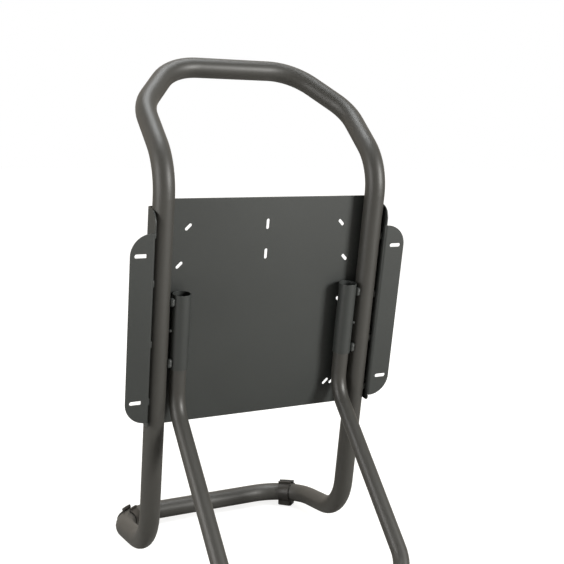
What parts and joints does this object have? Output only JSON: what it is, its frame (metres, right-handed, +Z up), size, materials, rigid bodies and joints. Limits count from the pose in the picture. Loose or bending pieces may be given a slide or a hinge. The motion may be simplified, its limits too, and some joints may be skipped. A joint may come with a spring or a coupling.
{
  "type": "equipment stand",
  "caption": "Free-standing stand of bent round tube with a carrying handle, a folded plate with screw slots and side flanges, and a plug-in rear leg.",
  "frame": {"origin": "on the floor under the middle of the stand's bounding box", "axes": "+X across the stand (to the right seen from behind), +Y to the front, where the plate faces and the handle bends, +Z up"},
  "size_m": [0.402, 0.4444, 0.7146],
  "materials": {
    "coated_tube": "fine-textured satin powder coat, anthracite",
    "coated_sheet": "fine-textured satin powder coat, anthracite",
    "coated_leg": "fine-textured satin powder coat, anthracite",
    "coated_weld": "coated weld bead",
    "clip_plastic": "moulded plastic, slightly waxy"
  },
  "bodies": {
    "frame": {"frame_tube": "coated_tube", "butt_weld": "coated_tube", "mounting_plate": "coated_sheet", "sleeve_left": "coated_tube", "sleeve_right": "coated_tube", "plate_welds_left": "coated_weld", "plate_welds_right": "coated_weld", "sleeve_welds_left": "coated_weld", "sleeve_welds_right": "coated_weld", "front_foot_left": "clip_plastic", "front_foot_right": "clip_plastic"},
    "leg": {"rear_leg": "coated_leg", "rear_foot_left": "clip_plastic", "rear_foot_right": "clip_plastic"}
  },
  "joints": [
    {"name": "leg_plug", "type": "slide", "parent": "frame", "child": "leg", "axis": [0, 0.1736, -0.9848], "range_m": [0, 0.1]}
  ]
}
